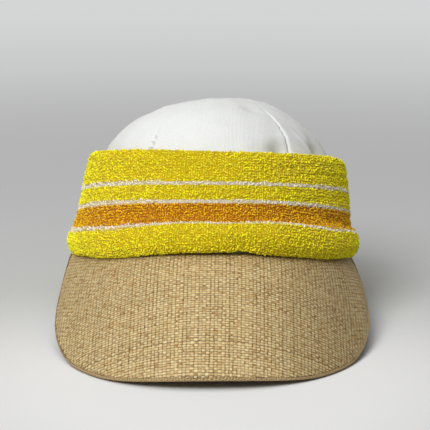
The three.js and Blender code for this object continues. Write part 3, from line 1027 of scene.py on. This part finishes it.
def yarnPlace(index, warp):  # how far along the flat cloth each yarn lies; index may end in a half
    pitch, half = straw["pitch"][warp], straw["yarnsEachWay"]
    draw = np.random.RandomState(17 + warp)
    drift = draw.normal(0, straw["uneven"] * pitch, 2 * half)
    often, wider = straw["wideGap"][warp]
    wide = (draw.uniform(0, 1, 2 * half) < often) * wider * pitch
    numbers = np.arange(2 * half) - half
    return np.interp(index, numbers, numbers * pitch + drift + np.cumsum(wide) - wide[:half].sum())


def trimmedRun(rows, v, limit, first, last):  # rows first to last, carried on to the bill's outline
    kept = list(rows[first:last + 1])
    for end, outer in ((first, first - 1), (last, last + 1)):
        if 0 <= outer < len(rows) and np.isfinite(v[outer]):
            outline = 0.0 if v[outer] <= 0 else limit[outer]
            share = np.clip((outline - v[end]) / (v[outer] - v[end] + 1e-12), 0, 1)
            if share > 0.1:
                kept.insert(0 if outer < first else len(kept), blend(rows[end], rows[outer], share))
    return np.array(kept)


def yarnRuns(index, warp):  # the stretches of one yarn on the bill, in rows of x, y, over or under, crossing
    along, fixed = straw["pitch"][not warp], int(not warp)
    first = math.floor(2 * flatLow[1 - fixed] / along) - 1
    last = math.ceil(2 * flatHigh[1 - fixed] / along) + 1
    step = np.arange(first, last + 1)
    rows = np.empty((len(step), 4))
    rows[:, fixed] = yarnPlace(index, warp)
    rows[:, 1 - fixed] = yarnPlace(step / 2, not warp)
    over = np.where((step // 2 + index + warp) % 2 == 0, 1.0, -1.0)
    rows[:, 2] = np.where(step % 2 == 0, over, 0.0)
    rows[:, 3] = step / 2
    side, v, length = findOnBill(rows[:, :2])
    limit = 1 - straw["edgeIn"] / length
    inside = np.isfinite(side) & (v > 0) & (v < limit)
    changes = np.flatnonzero(np.diff(np.concatenate([[0], inside, [0]])))
    runs = [trimmedRun(rows, v, limit, start, end - 1) for start, end in changes.reshape(-1, 2)]
    return [run for run in runs if len(run) > 2]


def yarnStrip(rows, index, warp, draw):  # three lines of points along one yarn, on the bill's surface
    width = straw["width"][warp] * draw.uniform(*straw["widths"])
    fixed = int(not warp)
    points, run = rows[:, :2], rows[:, 1 - fixed]
    drift = straw["wander"] * waves(1000 * warp + index + 500, 4, 260, run)
    swelling = 1 + 0.07 * waves(5000 * warp + index + 2500, 4, 500, run)
    ownSide, ownV, length = findOnBill(points)
    lines = []
    for edge in (-1, 0, 1):
        moved = points.copy()
        moved[:, fixed] += drift + edge * width / 2 * swelling
        side, v, _ = findOnBill(moved)
        side = np.where(np.isfinite(side), side, ownSide)
        v = np.clip(np.where(np.isfinite(v), v, ownV), 0, 1 - 0.4 * straw["edgeIn"] / length)
        height = billTop - bill["straw"] / 2 + straw["wave"] * rows[:, 2]
        lines.append(billPoint(side, v, height + (straw["crown"] if edge == 0 else 0)))
    return np.stack(lines, 1)


def stripMesh(name, strips, uvs):
    faces, start = [], 0
    for strip in strips:
        rows, across = strip.shape[:2]
        index = start + np.arange(rows * across).reshape(rows, across)
        quads = np.stack([index[:-1, :-1], index[:-1, 1:], index[1:, 1:], index[1:, :-1]], -1)
        faces.extend(quads.reshape(-1, 4).tolist())
        start += rows * across
    points = np.concatenate([strip.reshape(-1, 3) for strip in strips])
    uvPoints = np.concatenate([uv.reshape(-1, 2) for uv in uvs])
    return copiesMesh(name, points[None], faces, uvPoints[None], straw["smooth"])


def weaveYarns(name, warp):
    draw = np.random.RandomState(31 + warp)
    strips, uvs = [], []
    pitch, fixed = straw["pitch"][warp], int(not warp)
    for index in range(math.floor(flatLow[fixed] / pitch), math.ceil(flatHigh[fixed] / pitch) + 1):
        for rows in yarnRuns(index, warp):
            strips.append(yarnStrip(rows, index, warp, draw))
            along = rows[:, 3:] + index + warp
            across = index + straw["yarnsEachWay"] + np.array([(0.1, 0.5, 0.9)])
            uvs.append(straw["uvUnit"] * np.stack(np.broadcast_arrays(along, across), -1))
    piece = stripMesh(name, strips, uvs)
    editAll(piece, lambda: bpy.ops.mesh.normals_make_consistent(inside=False))
    giveWall(piece, straw["thick"], 0)
    smoothPiece(piece, straw["smooth"])
    return piece


strawLook = {
    "stops": (0.30, 0.45, 0.68),   # where the flecks are dark, middling and light
    "flecks": (1.1, 7.31, 3),      # along and across the yarn, and detail
    "fibres": (1.5, 9.0, 2), "relief": (0.06 * mm, 0.7),
    "fade": [((-20 * mm, -80 * mm), 0.87), ((15 * mm, 80 * mm), 0.68)],  # painted shade: darker towards the sides, most towards +X, away from the key lamp
}
# painted shade: the yarns darken where they dip and towards their sides; yarns also differ in tone from one
# to the next
warpLook = {
    "colours": ((0.48, 0.26, 0.085), (0.69, 0.51, 0.23), (0.81, 0.65, 0.345)),
    "crest": (0.40, 0.92), "valley": 0.42, "brow": 1.1, "yarns": 0.14,
}
weftLook = {
    "colours": ((0.40, 0.20, 0.055), (0.61, 0.43, 0.18), (0.76, 0.58, 0.295)),
    "crest": (0.30, 0.85), "valley": 0.58, "brow": 2.0, "yarns": 0.18,
}


def strawMaterial(name, look):  # UV x counts crossings along the yarn and y counts yarns, in hundredths
    material, tree, shader = newMaterial(name, 0.6, specular=0.35)
    crossings, yarns = (times(tree, part, 1 / straw["uvUnit"]) for part in placeOn(tree, "UV")[:2])
    yarnNumber = mathNode(tree, "FLOOR", yarns)
    yarnShade = addNode(tree, "ShaderNodeTexWhiteNoise", {"W": yarnNumber}, noise_dimensions="1D")

    def streaks(along, across, detail):
        place = addNode(tree, "ShaderNodeCombineXYZ", {0: times(tree, crossings, along), 1: across})
        return noiseAt(tree, place.outputs[0], 1.0, detail, "2D")

    along, across, detail = strawLook["flecks"]
    flecks = streaks(along, times(tree, yarnNumber, across), detail)
    colour = rampOf(tree, flecks, list(zip(strawLook["stops"], look["colours"])))
    # painted shade: darker where the yarn dips under its neighbours (valley) and towards its sides (brow)
    crest = mathNode(tree, "COSINE", times(tree, crossings, math.pi))
    crest = mathNode(tree, "MULTIPLY_ADD", crest, 0.5, 0.5)
    offMiddle = mathNode(tree, "SUBTRACT", mathNode(tree, "FRACT", yarns), 0.5)
    brow = mathNode(tree, "MULTIPLY_ADD", times(tree, offMiddle, offMiddle), -look["brow"], 1.0)
    own = mathNode(tree, "MULTIPLY_ADD", yarnShade.outputs["Value"], look["yarns"], 1 - look["yarns"] / 2)
    tone = times(tree, own, brow, mapRange(tree, crest, look["crest"], (look["valley"], 1.0)))
    # painted shade: the bill darkens towards its sides, most towards +X
    for reach, least in strawLook["fade"]:
        tone = times(tree, tone, mapRange(tree, placeOn(tree, "Object")[0], reach, (1.0, least)))
    paint(tree, shader, colour, tone)
    along, across, detail = strawLook["fibres"]
    addBump(tree, shader, streaks(along, times(tree, yarns, across), detail), *strawLook["relief"])
    return material


# a backing cloth under the straw; its dark orange-brown is painted shade, seen through the holes between the
# yarns
shadeBackingFinish = dict(liningFinish, colour=(0.36, 0.18, 0.065), gapShadeColour=(0.16, 0.08, 0.035))
backing = billLayer("bill_straw_shade_backing", halfBoard + 0.12 * mm, halfBoard + 0.32 * mm, 0.4 * mm,
                    wovenCloth("straw_shade_backing", shadeBackingFinish), "straw", "bill_straw_cover")
warpYarns = weaveYarns("bill_straw_warp", True)
weftYarns = weaveYarns("bill_straw_weft", False)
finishPiece(warpYarns, strawMaterial("straw_warp", warpLook), "straw", "bill_straw_cover")
finishPiece(weftYarns, strawMaterial("straw_weft", weftLook), "straw", "bill_straw_cover")

print("stage: bill edge and tape")
turnedEdge = {
    "top": 0.6 * mm, "under": 3.5 * mm, "underGap": 0.5 * mm, "legShare": 0.28,
    "ragged": (0.7, 45), "leastRagged": 0.2, "lumps": (0.12 * mm, 160),
    "overTable": 0.02 * mm, "wall": 0.5 * mm, "faces": (300, 16), "flat": (0.36, 0.01),
}


def edgePlace(u, v):
    side = 2 * u - 1
    above, below = billTop + bill["edgeGap"], billUnder + turnedEdge["underGap"]
    radius = (above + below) / 2
    leg = turnedEdge["legShare"]
    turn = np.clip((v - leg) / (1 - 2 * leg), 0, 1) * math.pi
    more, often = turnedEdge["ragged"]
    ragged = np.maximum(1 + more * waves(78, 6, often, side), turnedEdge["leastRagged"])
    topLeg = np.maximum(0, leg - v) / leg * turnedEdge["top"] * ragged
    underLeg = np.maximum(0, v - 1 + leg) / leg * turnedEdge["under"]
    inward = topLeg + underLeg - bill["gap"] - (radius - bill["board"]) * np.sin(turn)
    more, often = turnedEdge["lumps"]
    height = (above - below) / 2 + (radius + more * waves(77, 5, often, side)) * np.cos(turn)
    return clearOfTable(billPoint(side, 1 - inward / billLength(side), height), turnedEdge["overTable"])


edgeFinish = dict(
    liningFinish, colour=(0.54, 0.39, 0.19), gapShadeColour=(0.26, 0.14, 0.05), threads=(430.0, 480.0),
    relief=0.4 * mm, clouds=(35.0, 0.14), slubs=(900.0, 0.3), gapDepth=1.0, sheen=0.0, roughness=0.7,
)
sewPiece("bill_turned_edge", turnedEdge, edgePlace, wovenCloth("straw_turned_edge", edgeFinish), "straw",
         "bill_edge_binding", ["bill_board"], held="folded", offset=1)

billTape = {"wall": 0.6 * mm, "start": 15 * mm, "spanShare": 0.97, "faces": (160, 16), "flat": (0.25, 0.02)}


def billTapePlace(u, v):
    inward = -(crown["wall"] + seamTape["gap"] + billTape["wall"] / 2)
    line = smoothLine([(inward, billTape["start"]), (inward, 2.5 * mm), (inward + 0.8 * mm, 0.3 * mm),
                       (bill["rimOut"] - 0.35 * mm, -rimDrop + 0.36 * mm)])
    return toTable(around((2 * u - 1) * billTape["spanShare"] * bill["span"], *readLine(line, v)))


sewPiece("bill_tape", billTape, billTapePlace, tapeMaterial, "cotton_tape", "bill_seam_tape", ["bill_board"],
         offset=0)

print("stage: floor and light")
# the floor's near and far colours make a painted pool of light around the hat
studio = {
    "floor": 3.0, "sides": 96, "near": (0.80, 0.80, 0.795), "far": (0.56, 0.565, 0.56),
    "paintedPoolCentre": (0.0, -0.14), "paintedPoolReach": (0.08, 0.27),
    "haze": [(0.50, 0.50, 0.50), (0.66, 0.67, 0.67)], "hazeReach": (0.3, 1.3), "hazeClears": (0.6, 2.0),
    "lamps": [{"place": (-1.15, -1.85, 2.05), "size": 1.5, "watts": 62},
              {"place": (-0.1, -0.1, 1.6), "size": 1.4, "watts": 9}],
    "target": (0, 0, 0.06), "sky": 0.19, "wall": (0.60, 0.61, 0.61),
}


def raysThatLook(tree):
    rays = addNode(tree, "ShaderNodeLightPath").outputs
    looks = mathNode(tree, "MAXIMUM", rays["Is Camera Ray"], rays["Is Glossy Ray"])
    return mathNode(tree, "MAXIMUM", looks, rays["Is Transmission Ray"])


def mixShaders(tree, share, first, second, output):
    mix = addNode(tree, "ShaderNodeMixShader", {0: share, 1: first.outputs[0], 2: second.outputs[0]})
    feed(tree, tree.nodes[output].inputs, {"Surface": mix.outputs[0]})


def floorMaterial():
    material, tree, shader = newMaterial("pale_floor", 0.9, specular=0.1)
    x, y = (mathNode(tree, "SUBTRACT", part, at) for part, at in zip(placeOn(tree, "Object"), studio["paintedPoolCentre"]))
    away = mathNode(tree, "SQRT", mathNode(tree, "ADD", times(tree, x, x), times(tree, y, y)))
    # painted pool of light: the floor is paler near the hat and greyer further off
    colour = mixColour(tree, mapRange(tree, away, studio["paintedPoolReach"]), studio["near"], studio["far"])
    feed(tree, shader.inputs, {"Base Color": colour})
    # far off, the room's pale wall takes over for what looks at it
    hazeColour = mixColour(tree, mapRange(tree, away, studio["hazeClears"]), *studio["haze"])
    haze = addNode(tree, "ShaderNodeEmission", {"Color": hazeColour})
    share = times(tree, mapRange(tree, away, studio["hazeReach"]), raysThatLook(tree))
    mixShaders(tree, share, shader, haze, "Material Output")
    return material


clearSelection()
bpy.ops.mesh.primitive_circle_add(vertices=studio["sides"], radius=studio["floor"], fill_type="NGON")
floor = bpy.context.object
floor.name = "floor"
floor.data.materials.append(floorMaterial())

for lamp in studio["lamps"]:
    bpy.ops.object.light_add(type="AREA", location=lamp["place"])
    light = bpy.context.object
    light.data.size = lamp["size"]
    light.data.energy = lamp["watts"]
    aimAt(light, studio["target"])

world = bpy.data.worlds.new("soft_room")
bpy.context.scene.world = world
world.use_nodes = True
room = world.node_tree
sky = room.nodes["Background"]
feed(room, sky.inputs, {"Color": (1, 1, 1), "Strength": studio["sky"]})
wall = addNode(room, "ShaderNodeBackground", {"Color": studio["wall"]})
mixShaders(room, raysThatLook(room), sky, wall, "World Output")

print("stage: done")
